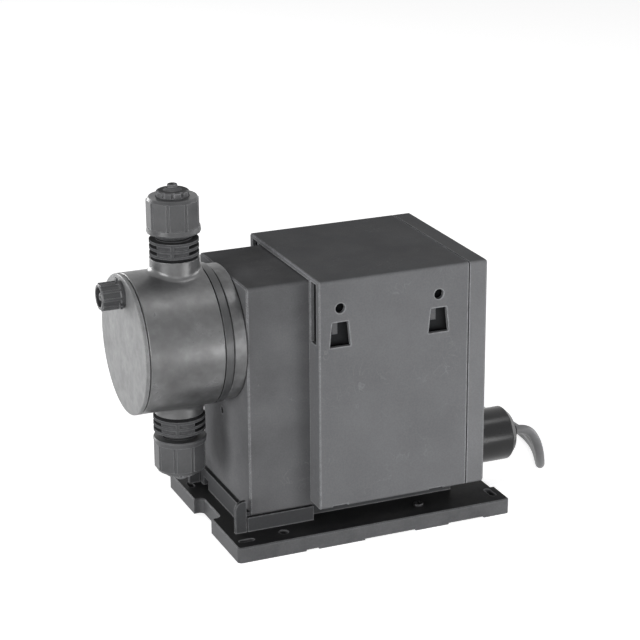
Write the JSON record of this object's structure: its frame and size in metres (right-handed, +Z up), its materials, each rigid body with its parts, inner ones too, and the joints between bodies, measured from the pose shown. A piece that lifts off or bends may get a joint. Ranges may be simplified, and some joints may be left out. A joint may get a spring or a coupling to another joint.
{
  "type": "diaphragm metering pump",
  "caption": "Motor-driven diaphragm metering pump: boxy control unit and drive on a slotted plate, round dosing head with upright valve stacks, bleed knob and mains lead.",
  "frame": {"origin": "middle of the mounting plate's underside", "axes": "+X from the dosing head towards the operator panel, +Y across the pump, +Z up, along the two valve stacks"},
  "size_m": [0.3385, 0.2513, 0.2393],
  "materials": {
    "plate_plastic": "moulded, fine grain",
    "zinc_screw": "bright plated",
    "drive_plastic": "moulded, fine grain",
    "cube_plastic": "moulded, fine grain",
    "chassis_plastic": "moulded, smooth",
    "steel": "ground",
    "gear_plastic": "moulded acetal",
    "frame_aluminium": "die cast",
    "motor_black": "black coated",
    "bronze": "sintered",
    "rubber": "matte",
    "head_metal": "satin, mottled",
    "valve_plastic": "moulded",
    "nut_plastic": "moulded, satin",
    "ceramic": "polished",
    "seat_plastic": "machined",
    "board_green": "solder resist",
    "panel_dark": "satin",
    "window_glass": "clear",
    "key_plastic": "satin",
    "wheel_plastic": "satin",
    "socket_plastic": "moulded",
    "gloss_black": "polished",
    "cord_sheath": "smooth sheath",
    "plug_metal": "nickel plated"
  },
  "bodies": {
    "pump": {"clamp_ring": "head_metal", "control_board": "board_green", "cord_coil": "cord_sheath", "cord_gland": "rubber", "cord_tail": "cord_sheath", "cube_shell": "cube_plastic", "diaphragm": "rubber", "discharge_valve_body": "valve_plastic", "display_module": "chassis_plastic", "display_window": "window_glass", "dosing_head": "head_metal", "drive_back_cover": "drive_plastic", "drive_housing": "drive_plastic", "encoder_body": "panel_dark", "flange_ring": "head_metal", "gear_frame": "frame_aluminium", "head_bolts": "zinc_screw", "head_cover": "head_metal", "inner_chassis": "chassis_plastic", "lock_screw": "zinc_screw", "mains_connector": "gloss_black", "mains_cord": "cord_sheath", "mains_inlet": "socket_plastic", "mains_plug": "cord_sheath", "motor_body": "motor_black", "mounting_plate": "plate_plastic", "panel_fascia": "panel_dark", "panel_frame": "cube_plastic", "panel_screws": "zinc_screw", "plug_pins": "plug_metal", "power_board": "board_green", "return_spring": "steel", "rod_bush": "bronze", "seals": "rubber", "shaft_bearings": "steel", "signal_sockets": "socket_plastic", "suction_valve_body": "valve_plastic", "valve_seats": "seat_plastic"},
    "push_rod": {"push_rod": "steel", "roller_pin": "steel"},
    "cam_roller": {"cam_roller": "steel"},
    "camshaft": {"camshaft": "steel", "drive_cam": "steel", "cam_gear": "gear_plastic"},
    "motor_rotor": {"motor_rotor": "steel", "motor_pinion": "steel"},
    "discharge_ball": {"discharge_ball": "ceramic"},
    "suction_ball": {"suction_ball": "ceramic"},
    "discharge_insert": {"discharge_tube_insert": "valve_plastic"},
    "discharge_nut": {"discharge_nut": "nut_plastic"},
    "suction_insert": {"suction_tube_insert": "valve_plastic"},
    "suction_nut": {"suction_nut": "nut_plastic"},
    "bleed_knob": {"bleed_knob": "nut_plastic", "bleed_spindle": "nut_plastic"},
    "encoder_rotor": {"encoder_rotor": "panel_dark"},
    "click_wheel": {"click_wheel": "wheel_plastic"},
    "start_key": {"start_key": "key_plastic"},
    "prime_key": {"prime_key": "key_plastic"},
    "menu_key": {"menu_key": "key_plastic"}
  },
  "joints": [
    {"name": "cam_turn", "type": "hinge", "parent": "pump", "child": "camshaft", "pos_m": [-0.018, 0, 0.136], "axis": [0, 1, 0], "range_deg": [0, 180]},
    {"name": "motor_turn", "type": "hinge", "parent": "pump", "child": "motor_rotor", "pos_m": [-0.018, 0, 0.096], "axis": [0, 1, 0], "range_deg": [-780.5, 0.5]},
    {"name": "rod_stroke", "type": "slide", "parent": "pump", "child": "push_rod", "axis": [-1, 0, 0], "range_m": [0, 0.002], "deforming": ["return_spring", "diaphragm"]},
    {"name": "roller_turn", "type": "hinge", "parent": "push_rod", "child": "cam_roller", "pos_m": [-0.037, 0, 0.136], "axis": [0, 1, 0], "range_deg": [-340, 0.5]},
    {"name": "discharge_ball_lift", "type": "slide", "parent": "pump", "child": "discharge_ball", "axis": [0, 0, 1], "range_m": [0, 0.0015]},
    {"name": "suction_ball_lift", "type": "slide", "parent": "pump", "child": "suction_ball", "axis": [0, 0, 1], "range_m": [0, 0.0015]},
    {"name": "discharge_nut_rise", "type": "slide", "parent": "pump", "child": "discharge_insert", "axis": [0, 0, 1], "range_m": [0, 0.00917]},
    {"name": "discharge_nut_turn", "type": "hinge", "parent": "discharge_insert", "child": "discharge_nut", "pos_m": [-0.1129, 0, 0.22], "axis": [0, 0, 1], "range_deg": [0, 1800]},
    {"name": "suction_nut_drop", "type": "slide", "parent": "pump", "child": "suction_insert", "axis": [0, 0, -1], "range_m": [0, 0.00917]},
    {"name": "suction_nut_turn", "type": "hinge", "parent": "suction_insert", "child": "suction_nut", "pos_m": [-0.1129, 0, 0.055], "axis": [0, 0, -1], "range_deg": [0, 1800]},
    {"name": "bleed_knob_turn", "type": "hinge", "parent": "pump", "child": "bleed_knob", "pos_m": [-0.157, 0, 0.1702], "axis": [-1, 0, 0], "range_deg": [0, 180]},
    {"name": "wheel_turn", "type": "hinge", "parent": "pump", "child": "encoder_rotor", "pos_m": [0.08, 0.028, 0.097], "axis": [1, 0, 0], "continuous": true},
    {"name": "wheel_press", "type": "slide", "parent": "encoder_rotor", "child": "click_wheel", "axis": [-1, 0, 0], "range_m": [0, 0.0008], "stiffness_N_per_m": 2500, "springref_m": -0.0002},
    {"name": "start_key_press", "type": "slide", "parent": "pump", "child": "start_key", "axis": [-1, 0, 0], "range_m": [0, 0.0006], "stiffness_N_per_m": 2000, "springref_m": -0.0002},
    {"name": "prime_key_press", "type": "slide", "parent": "pump", "child": "prime_key", "axis": [-1, 0, 0], "range_m": [0, 0.0006], "stiffness_N_per_m": 2000, "springref_m": -0.0002},
    {"name": "menu_key_press", "type": "slide", "parent": "pump", "child": "menu_key", "axis": [-1, 0, 0], "range_m": [0, 0.0006], "stiffness_N_per_m": 2000, "springref_m": -0.0002}
  ],
  "couplings": [
    {"joint": "motor_turn", "follows": "cam_turn", "ratio": -4.3333},
    {"joint": "rod_stroke", "follows": "cam_turn", "m_per_rad": 0.00063662},
    {"joint": "roller_turn", "follows": "cam_turn", "ratio": -1.8571},
    {"joint": "discharge_nut_rise", "follows": "discharge_nut_turn", "m_per_rad": 0.00028871},
    {"joint": "suction_nut_drop", "follows": "suction_nut_turn", "m_per_rad": 0.00028871}
  ]
}
